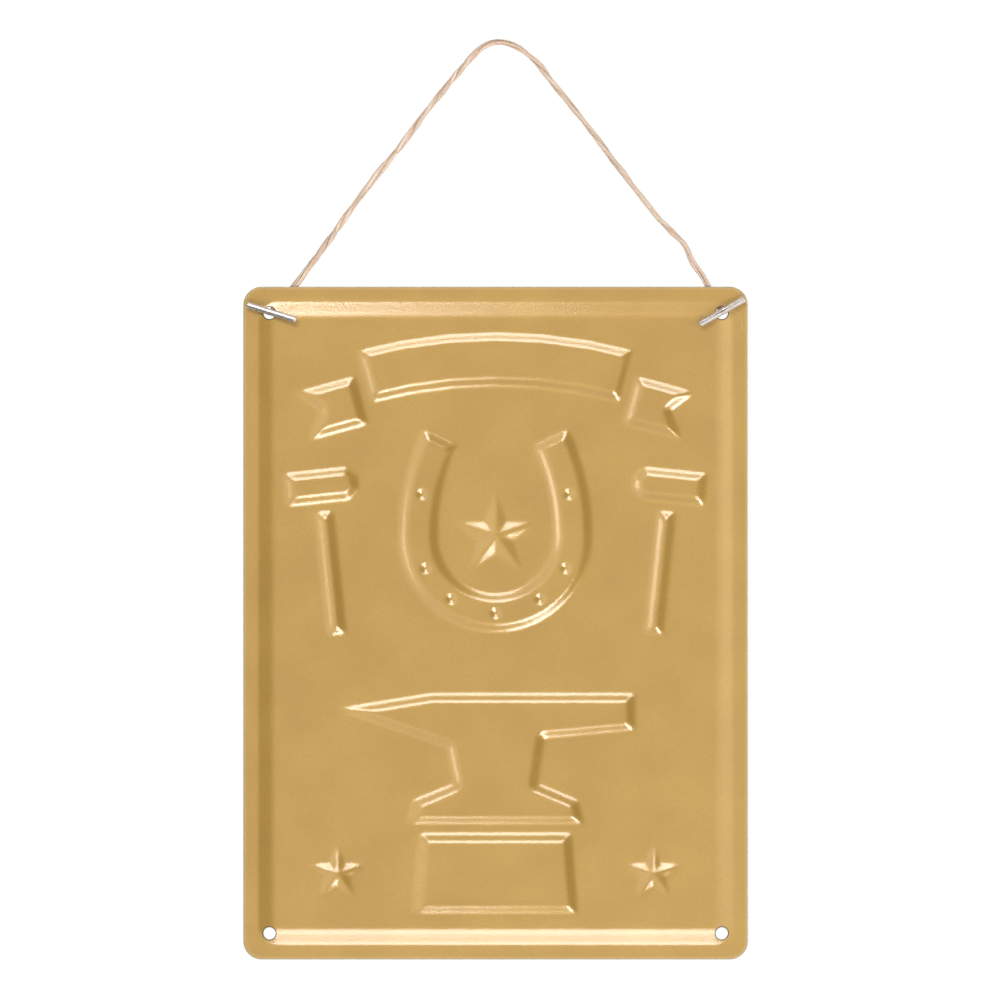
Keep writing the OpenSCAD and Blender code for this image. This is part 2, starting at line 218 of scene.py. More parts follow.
# How far the twist, the thickness and the plies' balance wander, each with its wavelengths along the twine
TURN_WANDER, TURN_WAVES = 1.1, (31, 47, 73)
THICK_WANDER, THICK_WAVES = 0.06, (8.3, 14.7, 33)
KNOT_WANDER, KNOT_WAVES = 0.02, (2.3, 3.9)
PLY_UNEVEN, PLY_WAVES = 0.085, (9.1, 17.3, 39)
# Strands that show as ridges: their height, their drift's wavelengths, and each set's count, drift and share
STRAND_RIDGE, DRIFT_WAVES = 0.022, (7, 19, 41)
STRAND_SETS = ((9, 1.6, 1), (16, -2.2, 0.7))
# Loose fibres: their number, length, radius, and how far each stands off, curls and strays
FIBRES, FIBRE_LEN, FIBRE_R = 130, (0.8, 2.4), (0.014, 0.024)
FIBRE_LIFT, FIBRE_CURL, FIBRE_STRAY, FIBRE_TAPER = (0.02, 0.3), (-0.1, 0.25), 0.06, 0.6
# Each fibre's rings and sides, how far out it is rooted as a share of CORD_R, and the twine's bare end rings
FIBRE_RINGS, FIBRE_SIDES, FIBRE_ROOT, BARE_RINGS = 6, 3, 0.85, 6
# Places of the loose fibres in the grain, which keep them clear of the twine's duller right half
FIBRE_GRAIN, STRAY_GRAIN = -700, -800


def add_twine(parts, centres, at, seed, girth):
    """Adds a stretch of twine. girth is its half width at each point."""
    ahead = unit(np.gradient(centres, axis=0))
    side = unit(np.cross(ahead, (0.0, 1.0, 0.01)))
    out = np.cross(side, ahead)
    turn = FIRST_TURN + 2 * math.pi * at / TWIST + TURN_WANDER * wander(at, TURN_WAVES, seed)
    spoke = side * np.cos(turn)[:, None] + out * np.sin(turn)[:, None]
    angles = np.linspace(0, 2 * math.pi, SECTION_SIDES, endpoint=False)
    groove = GROOVE_DEPTH * np.exp(-((np.cos(angles) / GROOVE_WIDTH) ** 2))
    shape = 1 + SECTION_OVAL * np.cos(2 * angles) - groove
    drift = wander(at, DRIFT_WAVES, seed + 1)[:, None]
    ridges = sum(share * np.sin(count * angles[None] + sway * drift) for count, sway, share in STRAND_SETS)
    thick = THICK_WANDER * wander(at, THICK_WAVES, seed + 2)
    lumps = 1 + thick + KNOT_WANDER * wander(at, KNOT_WAVES, seed + 3)
    uneven = PLY_UNEVEN * wander(at, PLY_WAVES, seed + 4)[:, None] * np.cos(angles)
    radii = (girth * lumps)[:, None] * (shape[None] + uneven + STRAND_RIDGE * ridges)
    parts.add_tube(centres, spoke, radii, at, angles)


def add_fibre(parts, start, heading, curl, length, radius):
    """Adds one loose fibre, which starts along heading and bends towards curl."""
    t = np.linspace(0, 1, FIBRE_RINGS)[:, None]
    centres = start + length * (heading * t + curl * t**2)
    radii = radius * (1 - FIBRE_TAPER * t) * np.ones((1, FIBRE_SIDES))
    across = np.cross(unit(np.gradient(centres, axis=0)), (0.31, 0.9, 0.23))
    parts.add_tube(centres, across, radii, t[:, 0] * length + FIBRE_GRAIN, np.zeros(FIBRE_SIDES))


def hole_bend(name):
    """Where the twine bends at a hole, and its direction from there along the free stretch."""
    bend = np.array([SIDES[name] * HOLE_X, 0, SWING_Z])
    x, z = ROUTE[0] if name == "left" else ROUTE[-1]
    return bend, unit(np.array([x, 0, z]) - bend)


def make_twine():
    """The free stretch of twine and its loose fibres, and the line that they follow."""
    first, last = (bend + (CORD_R + BEND_GAP) * away for bend, away in map(hole_bend, SIDES))
    centres, at = smooth_curve([first] + [(x, 0, z) for x, z in ROUTE] + [last], RING_STEP)
    parts = Parts()
    add_twine(parts, centres, at, TWINE_SEED, np.linspace(LEFT_GIRTH, RIGHT_GIRTH, len(at)))
    loop = parts.piece("twine_loop", "hanger")
    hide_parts("hanging_cord")

    random = np.random.default_rng(FIBRE_SEED)
    fuzz = Parts()
    ahead = unit(np.gradient(centres, axis=0))
    for _ in range(FIBRES):
        i = int(random.integers(BARE_RINGS, len(centres) - BARE_RINGS))
        turn = random.uniform(0, 2 * math.pi)
        side = unit(np.cross(ahead[i], (0, 1, 0)))
        spoke = side * math.cos(turn) + np.array([0, 1, 0]) * math.sin(turn)
        heading = unit(random.choice((-1, 1)) * ahead[i] + spoke * random.uniform(*FIBRE_LIFT))
        curl = spoke * random.uniform(*FIBRE_CURL) + random.normal(0, FIBRE_STRAY, 3)
        heading[1], curl[1] = min(heading[1], 0), min(curl[1], 0)
        start = centres[i] + spoke * CORD_R * FIBRE_ROOT
        add_fibre(fuzz, start, heading, curl, random.uniform(*FIBRE_LEN), random.uniform(*FIBRE_R))
    fibres = fuzz.piece("twine_fibres", "hanger")
    return loop, fibres, centres, at


def seat(shift):
    """How steeply a toggle leans on the field, in radians, and how far its axis passes behind the rim."""
    reach = 2 * (RIM_W + SHOULDER_W - HOLE_INSET)
    low_arm = TOGGLE_LEN / 2 - shift
    lean = math.atan(FIELD_RISE / (reach + low_arm))
    return lean, TOGGLE_GAP + TOGGLE_R / math.cos(lean) + low_arm * math.sin(lean)


# Where the twine's end starts behind its bend, its rings' spacing, and the bend ball's rings and sides
END_START, END_RING_STEP = 0.1, 0.3
BALL_RINGS, BALL_SIDES = 8, 16


def ball(centre, radius):
    """Points and faces of a ball, as rings about the Y axis with a point at each pole."""
    n, sides = BALL_RINGS, BALL_SIDES
    polar = np.linspace(0, math.pi, n + 2)[1:-1]
    angles = np.linspace(0, 2 * math.pi, sides, endpoint=False)
    spokes = [(math.sin(p) * math.cos(a), math.cos(p), math.sin(p) * math.sin(a))
              for p in polar for a in angles]
    points = [centre + radius * np.array(spoke) for spoke in spokes + [(0, 1, 0), (0, -1, 0)]]
    top, bottom = len(points) - 2, len(points) - 1
    faces = wall_faces(n, sides)
    faces += [(top, (k + 1) % sides, k) for k in range(sides)]
    faces += [(bottom, (n - 1) * sides + k, (n - 1) * sides + (k + 1) % sides) for k in range(sides)]
    return np.array(points), faces


def make_twine_end(name):
    """The twine's end: a rounded bend in front of the hole and a straight stretch into the toggle."""
    bend, away = hole_bend(name)
    _, height = seat(SHIFTS[name])
    at = np.arange(END_START, height - RIM_BACK_Y, END_RING_STEP)
    parts = Parts()
    girth = np.full(len(at), END_GIRTH)
    add_twine(parts, bend - np.outer(at, (0, 1, 0)), at, END_SEED + SIDES[name], girth)
    points, faces = ball(bend, CORD_R * BEND_SHARE)
    out = unit(points - bend)
    along = CORD_R * np.arctan2(out @ away, out[:, 1])
    parts.add(points, faces, along, np.arcsin(np.clip(out @ np.cross(away, (0, 1, 0)), -1, 1)))
    end = parts.piece(f"{name}_twine_end", f"{name}_toggle")
    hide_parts(f"{name}_cord_end")
    return end


# Places of the stray fibre in X and Z, each with its height over the field's back
STRAY_ROUTE = ((69.0, -79.9, 0.5), (71.6, -80.6, 0.45), (73.0, -82.8, 0.3), (73.2, -86.0, 0.2))
STRAY_R, STRAY_SIDES = 0.036, 5


def make_stray_fibre():
    """The long loose fibre that curls out from under the right toggle."""
    back = RIM_BACK_Y - FIELD_RISE
    centres, at = smooth_curve([(x, back - over, z) for x, z, over in STRAY_ROUTE], RING_STEP)
    radii = np.full((len(at), STRAY_SIDES), STRAY_R)
    parts = Parts()
    parts.add_tube(centres, np.array([(0.0, 1.0, 0.2)]), radii, at + STRAY_GRAIN, np.zeros(STRAY_SIDES))
    return parts.piece("right_stray_fibre", "right_toggle")


# Motif sizes, as in the CAD source
ARC_STEP = 6
RIBBON_TOP, RIBBON_H, RIBBON_R, RIBBON_ANGLE = 13.0, 17.0, 150.0, 15.3
TAIL_LEN, TAIL_H, TAIL_DROP, TAIL_NOTCH, TAIL_GAP = 20.0, 16.0, 6.5, 6.0, 1.5
SHOE_Z, SHOE_R, SHOE_W, SHOE_LEG_R, SHOE_LEG_ANGLE, STAR_R = 26.0, 23.0, 12.6, 68.0, 26.0, 13.5
BUMP_R, BUMP_RISE, LEG_BUMP_SHARE = 1.5, 0.7, 0.4
TOE_BUMP_ANGLES = (-155, -125, -90, -55, -25)
HAMMER_X, HAMMER_Z, HANDLE_LEN, HANDLE_W = 47.0, -4.0, 38.0, 6.6
HEAD_LEN, HEAD_H, HAMMER_LEAN, PEEN_SHARE = 23.0, 11.0, 6.0, 0.3
BLOCK_BOTTOM, BLOCK_W, BLOCK_H, SIDE_TAPER = 13.0, 50.0, 25.0, 2.0
ANVIL_GAP, ANVIL_H, ANVIL_HEEL, ANVIL_HORN, ANVIL_WAIST, ANVIL_FOOT = 1.6, 40.0, 42.0, 50.0, 13.0, 27.0
FOOT_H, HEEL_H, BEND_H = 8.0, 12.0, 5.0
SMALL_STAR_R, SMALL_STAR_X, STAR_SHARE, STAR_HALF_ANGLE = 9.0, 47.0, 0.42, 36
BLOCK_TOP = -PLATE_H / 2 + BLOCK_BOTTOM + BLOCK_H


def arc(centre, radius, start, end):
    n = math.ceil(abs(end - start) / ARC_STEP)
    angles = np.radians(np.linspace(start, end, n + 1))
    return [(centre[0] + radius * math.cos(a), centre[1] + radius * math.sin(a)) for a in angles]


def turned(points, degrees, origin):
    c, s = math.cos(math.radians(degrees)), math.sin(math.radians(degrees))
    return [(origin[0] + x * c - z * s, origin[1] + x * s + z * c) for x, z in points]


def mirrored(points):
    return [(-x, z) for x, z in reversed(points)]


def ribbon_outlines():
    centre = (0, PLATE_H / 2 - RIBBON_TOP - RIBBON_R - RIBBON_H / 2)
    band = (arc(centre, RIBBON_R + RIBBON_H / 2, 90 - RIBBON_ANGLE, 90 + RIBBON_ANGLE)
            + arc(centre, RIBBON_R - RIBBON_H / 2, 90 + RIBBON_ANGLE, 90 - RIBBON_ANGLE))
    angle = math.radians(RIBBON_ANGLE)
    start = (RIBBON_R * math.sin(angle), centre[1] + RIBBON_R * math.cos(angle))
    low = -TAIL_DROP - TAIL_H / 2
    high, far = low + TAIL_H, TAIL_GAP + TAIL_LEN
    tail = turned([(TAIL_GAP, low), (far, low), (far - TAIL_NOTCH, (low + high) / 2), (far, high),
                   (TAIL_GAP, high)], -RIBBON_ANGLE, start)
    return [band, tail, mirrored(tail)]


def shoe_outline():
    off = SHOE_LEG_R - SHOE_R

    def side(half):
        return (arc((off, SHOE_Z), SHOE_LEG_R + half, 180 - SHOE_LEG_ANGLE, 180 - ARC_STEP)
                + arc((0, SHOE_Z), SHOE_R + half, 180, 360)
                + arc((-off, SHOE_Z), SHOE_LEG_R + half, ARC_STEP, SHOE_LEG_ANGLE))
    return side(SHOE_W / 2) + side(-SHOE_W / 2)[::-1]


def bump_places():
    toe = [(SHOE_R * math.cos(a), SHOE_Z + SHOE_R * math.sin(a)) for a in np.radians(TOE_BUMP_ANGLES)]
    leg = math.radians(SHOE_LEG_ANGLE * LEG_BUMP_SHARE)
    leg_x, leg_z = SHOE_R - SHOE_LEG_R + SHOE_LEG_R * math.cos(leg), SHOE_Z + SHOE_LEG_R * math.sin(leg)
    return toe + [(-leg_x, leg_z), (leg_x, leg_z)]


def hammer_outlines():
    half, low, high = HEAD_LEN / 2, HANDLE_LEN + TAIL_GAP, HANDLE_LEN + TAIL_GAP + HEAD_H
    cut = HEAD_H * PEEN_SHARE
    handle = [(x * HANDLE_W / 2, z * HANDLE_LEN) for x, z in ((-1, 0), (1, 0), (1, 1), (-1, 1))]
    head = [(-half, low + cut), (-half + cut, low), (half, low), (half, high), (-half + cut, high),
            (-half, high - cut)]
    foot = (HAMMER_X, HAMMER_Z)
    handle, head = turned(handle, -HAMMER_LEAN, foot), turned(head, -HAMMER_LEAN, foot)
    return [handle, mirrored(handle)], [head, mirrored(head)]


def anvil_outline():
    bottom = BLOCK_TOP + ANVIL_GAP
    top = bottom + ANVIL_H
    foot_top, heel_low = bottom + FOOT_H, top - HEEL_H
    return [
        (-ANVIL_FOOT, bottom), (ANVIL_FOOT, bottom), (ANVIL_FOOT - SIDE_TAPER, foot_top),
        (ANVIL_WAIST, foot_top + BEND_H), (ANVIL_WAIST + SIDE_TAPER, heel_low - BEND_H / 2),
        (ANVIL_HEEL, heel_low), (ANVIL_HEEL, top), (-ANVIL_WAIST - HEEL_H / 2, top),
        (-ANVIL_HORN, top - BEND_H), (-ANVIL_WAIST - SIDE_TAPER, heel_low - BEND_H),
        (-ANVIL_WAIST, foot_top + BEND_H), (-ANVIL_FOOT + SIDE_TAPER, foot_top),
    ]


def block_outline():
    half, low = BLOCK_W / 2, BLOCK_TOP - BLOCK_H
    return [(-half, low), (half, low), (half - SIDE_TAPER, BLOCK_TOP), (-half + SIDE_TAPER, BLOCK_TOP)]


def stars():
    low = BLOCK_TOP - BLOCK_H / 2
    return [((0, SHOE_Z), STAR_R), ((-SMALL_STAR_X, low), SMALL_STAR_R), ((SMALL_STAR_X, low), SMALL_STAR_R)]


def distance_inside(outline, x, z):
    """How far each point lies inside a closed outline, negative outside it."""
    nearest = np.full(x.shape, np.inf)
    crossings = np.zeros(x.shape, bool)
    for (ax, az), (bx, bz) in zip(outline, outline[1:] + outline[:1]):
        dx, dz = bx - ax, bz - az
        t = np.clip(((x - ax) * dx + (z - az) * dz) / (dx * dx + dz * dz), 0, 1)
        nearest = np.minimum(nearest, np.hypot(x - ax - t * dx, z - az - t * dz))
        if az != bz:
            crossings ^= ((az > z) != (bz > z)) & (x < ax + (z - az) * dx / dz)
    return np.where(crossings, nearest, -nearest)


def star_depth(centre, radius, x, z):
    """Share of a star's depth at each point: 1 at its middle, 0 on its outline and negative outside."""
    out = np.hypot(x - centre[0], z - centre[1])
    angle = np.degrees(np.arctan2(z - centre[1], x - centre[0])) - 90
    a = np.radians(np.abs((angle + STAR_HALF_ANGLE) % (2 * STAR_HALF_ANGLE) - STAR_HALF_ANGLE))
    inner, half = radius * STAR_SHARE, math.radians(STAR_HALF_ANGLE)
    reach = radius * inner * math.sin(half) / (
        np.cos(a) * inner * math.sin(half) - np.sin(a) * (inner * math.cos(half) - radius))
    return 1 - out / reach


def inside_rectangle(x, z, inset, corner):
    """How far each point lies inside the plate's rectangle, drawn in by inset and with rounded corners."""
    qx = np.abs(x) - (PLATE_W / 2 - inset) + corner
    qz = np.abs(z) - (PLATE_H / 2 - inset) + corner
    return corner - np.hypot(np.maximum(qx, 0), np.maximum(qz, 0)) - np.minimum(np.maximum(qx, qz), 0)


def inside_plate(x, z):
    """How far each point lies inside the plate's outline."""
    return inside_rectangle(x, z, 0, CORNER_R)


def inside_rim(x, z):
    """How far each point lies inside the inner edge of the plate's flat rim."""
    return inside_rectangle(x, z, RIM_W, SHOULDER_R)


def off_hole(x, z):
    """The distance of each point from the middle of the nearest hole."""
    return np.hypot(np.abs(x) - HOLE_X, np.abs(z) - HOLE_Z)


# The relief's raster: its spacing, its margin round the plate, and how far each part is softened
RASTER, MARGIN = 0.2, 2
SHOULDER_SOFT, MOTIF_SOFT = 0.33, 0.55
# Share of a slope's height at which its upper bend starts
SHOULDER_BEND, MOTIF_BEND = 0.72, 0.6


def shoulder_ramp(share):
    """Height of the shoulder from its sharp foot at 0. It rounds off from before 1 until past it."""
    over = np.clip((share - SHOULDER_BEND) / (2 - 2 * SHOULDER_BEND), 0, 1)
    return np.clip(share, 0, SHOULDER_BEND) + (1 - SHOULDER_BEND) * (2 * over - over**2)


def motif_ramp(share):
    """Height of a motif's side from its floor at 0 to the field at 1, with a soft upper bend."""
    over = np.clip((share - MOTIF_BEND) / (1 - MOTIF_BEND), 0, 1)
    height = np.clip(share, 0, MOTIF_BEND) + (1 - MOTIF_BEND) * (over - over**2 / 2)
    return height * 2 / (1 + MOTIF_BEND)


class Relief:
    """Rasters of the height of the plate's back over its rim, towards -Y, and of its slope."""

    def __init__(self):
        self.xs = np.arange(-PLATE_W / 2 - MARGIN, PLATE_W / 2 + MARGIN, RASTER)
        self.zs = np.arange(-PLATE_H / 2 - MARGIN, PLATE_H / 2 + MARGIN, RASTER)
        x, z = np.meshgrid(self.xs, self.zs, indexing="ij")
        field = FIELD_RISE * shoulder_ramp(inside_rim(x, z) / SHOULDER_W)
        motifs = np.zeros(field.shape)
        handles, heads = hammer_outlines()
        singles = [shoe_outline(), anvil_outline(), block_outline()]
        for outline in ribbon_outlines() + handles + heads + singles:
            i, k = self.window(outline)
            inside = distance_inside(outline, x[i, k], z[i, k])
            motifs[i, k] -= RELIEF_DEPTH * (1 - motif_ramp(1 - inside / RELIEF_SLOPE))
        for centre, radius in stars():
            motifs -= RELIEF_DEPTH * np.clip(star_depth(centre, radius, x, z), 0, 1)
        for px, pz in bump_places():
            out = np.hypot(x - px, z - pz)
            motifs += BUMP_RISE * np.clip((BUMP_R - out) / (BUMP_R / 2), 0, 1)
        self.height = self.softened(field, SHOULDER_SOFT) + self.softened(motifs, MOTIF_SOFT)
        self.slope = np.hypot(*np.gradient(self.height, RASTER))

    def window(self, outline):
        """The part of the raster that holds an outline, with 1 mm round it."""
        places = zip((self.xs, self.zs), zip(*outline))
        return tuple(slice(*np.searchsorted(axis, (min(p) - 1, max(p) + 1))) for axis, p in places)

    @staticmethod
    def softened(height, sigma):
        """The heights blurred along one axis of the raster and then along the other."""
        reach = math.ceil(3 * sigma / RASTER)
        weights = np.exp(-0.5 * (np.arange(-reach, reach + 1) * RASTER / sigma) ** 2)
        weights /= weights.sum()
        for _ in (0, 1):
            padded = np.pad(height, ((reach, reach), (0, 0)), mode="edge")
            height = sum(w * padded[i:i + len(height)] for i, w in enumerate(weights)).T
        return height

    def at(self, field, x, z):
        """A raster's value at each place, between its points."""
        fx, fz = (x - self.xs[0]) / RASTER, (z - self.zs[0]) / RASTER
        i, k = np.floor(fx).astype(int), np.floor(fz).astype(int)
        u, v = fx - i, fz - k
        return (field[i, k] * (1 - u) * (1 - v) + field[i + 1, k] * u * (1 - v)
                + field[i, k + 1] * (1 - u) * v + field[i + 1, k + 1] * u * v)


# Spacing of the sheet's mesh, on its slopes and along the front's painted line, and on its flats
FINE, COARSE = 0.5, 2.4
FLAT_SLOPE = 0.012
# The front's painted line: how far inside the rim it lies, its half width, and its fine mesh's half width
LINE_INSET, LINE_HALF, LINE_REACH = 6.1, 0.25, 0.7
# A cut edge, from the back to the front: how far each ring lies inside the outline and how deep it lies
CUT_EDGE = ((0.2, 0), (0.08, 0.04), (0, 0.12), (0, SHEET_T - 0.03), (0.03, SHEET_T), (0.2, SHEET_T))
# Angle between a hole's edge points in degrees, points on a corner, and spacing along the plate's sides
HOLE_STEP, CORNER_POINTS, SIDE_STEP = 9, 19, 1.2
# Band inside the plate's outline and round the holes that has no grid points
EDGE_BAND, HOLE_BAND = 0.4, 0.3
# Points nearer to each other than this become one
SAME_POINT = 1e-6


def hexagonal(step):
    """A grid of points over the plate, each the same distance from its six neighbours."""
    rows = []
    for n, z in enumerate(np.arange(-PLATE_H / 2, PLATE_H / 2, step * math.sqrt(0.75))):
        xs = np.arange(-PLATE_W / 2 + (n % 2) * step / 2, PLATE_W / 2, step)
        rows.append(np.stack([xs, np.full(len(xs), z)], axis=1))
    return np.vstack(rows)


def on_circle(degrees):
    """Points on a circle of radius 1."""
    angles = np.radians(degrees)
    return np.stack([np.cos(angles), np.sin(angles)], axis=1)


def plate_edge(inset):
    """The plate's outline, drawn in by inset."""
    middle = np.array([PLATE_W / 2 - CORNER_R, PLATE_H / 2 - CORNER_R])
    corners = [
        middle * way + (CORNER_R - inset) * on_circle(np.linspace(start, start + 90, CORNER_POINTS))
        for way, start in (((1, 1), 0), ((-1, 1), 90), ((-1, -1), 180), ((1, -1), 270))]
    outline = []
    for corner, following in zip(corners, corners[1:] + corners[:1]):
        outline.append(corner[:-1])
        run = following[0] - corner[-1]
        n = int(np.linalg.norm(run) / SIDE_STEP)
        outline.append(corner[-1] + np.outer(np.arange(n) / n, run))
    return np.vstack(outline)


def hole_edges(inset):
    """The four holes' outlines, widened by inset."""
    ring = on_circle(np.arange(0, 360, HOLE_STEP)) * (HOLE_R + inset)
    return [ring + (sx * HOLE_X, sz * HOLE_Z) for sx in (-1, 1) for sz in (-1, 1)]


def has_detail(relief, points):
    """Whether each point lies on a slope of the sheet or near the painted line of its front."""
    from_line = np.abs(inside_rim(*points.T) - LINE_INSET)
    return (relief.at(relief.slope, *points.T) > FLAT_SLOPE) | (from_line < LINE_REACH)


def sheet_triangles(relief, loops):
    """The sheet drawn flat: its points, its triangles and the loops' places among the points."""
    fine, coarse = hexagonal(FINE), hexagonal(COARSE)
    inner = np.vstack([fine[has_detail(relief, fine)], coarse[~has_detail(relief, coarse)]])
    inner = inner[(inside_plate(*inner.T) > EDGE_BAND) & (off_hole(*inner.T) > HOLE_R + HOLE_BAND)]
    points, edges, places = [], [], []
    for loop in loops:
        first, n = len(points), len(loop)
        points += loop.tolist()
        edges += [(first + i, first + (i + 1) % n) for i in range(n)]
        places.append(range(first, first + n))
    points += inner.tolist()
    made = delaunay_2d_cdt([Vector(p) for p in points], edges, [], 0, SAME_POINT)
    found = np.array([tuple(v) for v in made[0]])
    new_index = {old: new for new, olds in enumerate(made[3]) for old in olds}
    places = [[new_index[i] for i in place] for place in places]
    triangles = np.array([f for f in made[2] if len(f) == 3])
    open_r = (HOLE_R + CUT_EDGE[0][0]) * math.cos(math.radians(HOLE_STEP / 2))
    triangles = triangles[off_hole(*found[triangles].mean(1).T) > open_r]
    a, b, c = (found[triangles[:, k]] for k in range(3))
    area = (b[:, 0] - a[:, 0]) * (c[:, 1] - a[:, 1]) - (b[:, 1] - a[:, 1]) * (c[:, 0] - a[:, 0])
    triangles[area < 0] = triangles[area < 0][:, ::-1]
    return found, triangles, places


def make_plate():
    """The pressed sheet: its back, its front one sheet thickness further on, and its rounded cut edges."""
    relief = Relief()
    loops = [[plate_edge(inset)] + hole_edges(inset) for inset, _ in CUT_EDGE]
    flat, triangles, places = sheet_triangles(relief, loops[0])
    n = len(flat)
    height = relief.at(relief.height, *flat.T)
    back = np.stack([flat[:, 0], -height, flat[:, 1]], axis=1)
    points = [back, back + (0, SHEET_T, 0)]
    faces = triangles.tolist() + (triangles[:, ::-1] + n).tolist()
    materials = [0] * len(triangles) + [1] * len(triangles)
    total = 2 * n
    for which, place in enumerate(places):
        size = len(place)
        rings = [list(place)]
        for (_, depth), edge in zip(CUT_EDGE[1:-1], loops[1:-1]):
            x, z = edge[which].T
            points.append(np.stack([x, depth - height[place], z], axis=1))
            rings.append(list(range(total, total + size)))
            total += size
        rings.append([i + n for i in place])
        for step, (inner, outer) in enumerate(zip(rings, rings[1:])):
            for i in range(size):
                k = (i + 1) % size
                face = (inner[k], inner[i], outer[i], outer[k])
                faces.append(face[::-1] if which else face)
                materials.append(1 if step == len(rings) - 2 else 2)
    points = np.vstack(points)
    x, z = points[:, 0].copy(), points[:, 2].copy()
    points += (0, RIM_BACK_Y, PLATE_Z)
    plate = mesh_object("plate_sheet", points, faces, "sign")
    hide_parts("plate")
    plate.data.polygons.foreach_set("material_index", np.array(materials, np.int32))
    mark_cut_edges(plate, materials)
    add_zones(plate, x, z)
    for material in (gold_lacquer(), front_enamel(), cut_steel()):
        plate.data.materials.append(material)


def mark_cut_edges(plate, materials):
    """Sharpens the shading where a cut edge meets the sheet's back or front."""
    mesh = plate.data
    uses = {}
    for polygon, material in zip(mesh.polygons, materials):
        for key in polygon.edge_keys:
            uses.setdefault(key, set()).add(material)
    for edge in mesh.edges:
        edge.use_edge_sharp = len(uses[edge.key]) > 1


# About how far a star's middle lies inside its outline, as a share of its radius
STAR_REACH = 0.4


def add_zones(plate, x, z):
    """How far each point lies inside each painted zone of the front, in millimetres."""
    handles, heads = hammer_outlines()
    zones = {
        "zone_ribbon": ribbon_outlines(),
        "zone_iron": heads + [shoe_outline()],
        "zone_anvil": [anvil_outline()],
        "zone_wood": handles + [block_outline()],
    }
    for name, outlines in zones.items():
        depth = [distance_inside(outline, x, z) for outline in outlines]
        add_attribute(plate, name, np.max(depth, axis=0))
    depth = [star_depth(centre, radius, x, z) * radius * STAR_REACH for centre, radius in stars()]
    add_attribute(plate, "zone_star", np.max(depth, axis=0))
    add_attribute(plate, "zone_field", inside_rim(x, z))
    add_attribute(plate, "from_edge", inside_plate(x, z))
    add_attribute(plate, "from_hole", off_hole(x, z) - HOLE_R)


# How far each toggle is rolled about its axis, in degrees
ROLLED = {"left": 118, "right": 9}
# The rolled strip's seam, its pinch round the twine, its wider mouths and its slight waves
SEAM = 0.16
PINCH_DEPTH, PINCH_LEN, PINCH_OPEN, PINCH_REACH = 0.15, 1.5, 0.1, 0.9
MOUTH_OPEN, MOUTH_LEN = 0.1, 1.2
ROLL_WANDER, ROLL_WAVES = 0.012, (3.1, 5.7, 11)
# A lip at the seam, in radians from it: where it rounds off and ends. Then how wide and how far it turns in
LIP, LIP_END, LIP_REACH, LIP_DROP = (0, 0.03, 0.1, 0.2), 0.32, 0.3, 0.045
# Rounding of the strip's ends: its length, and how far the outer and the inner side give way
END_LEN, OUTER_DROP, INNER_RISE = 0.22, 0.1, 0.04
# Columns round the strip, and its rings as pairs: how far they lie from an end and how many there are
COLUMNS, END_RINGS, MIDDLE_RINGS = 40, (0.4, 6), (0.8, 64)


def strip_faces(n, turns):
    """The faces of a rolled strip with n rings of points on its outer side, then n on its inner side."""
    faces, inner = [], n * turns
    for first in range(0, inner - turns, turns):
        for a in range(first, first + turns - 1):
            b = a + turns
            faces.append((a, b, b + 1, a + 1))
            faces.append((inner + a + 1, inner + b + 1, inner + b, inner + a))
        for a, way in ((first, 1), (first + turns - 1, -1)):
            faces.append((a, inner + a, inner + a + turns, a + turns)[::way])
    for first, way in ((0, 1), (inner - turns, -1)):
        for a in range(first, first + turns - 1):
            faces.append((a, a + 1, inner + a + 1, inner + a)[::way])
    return faces


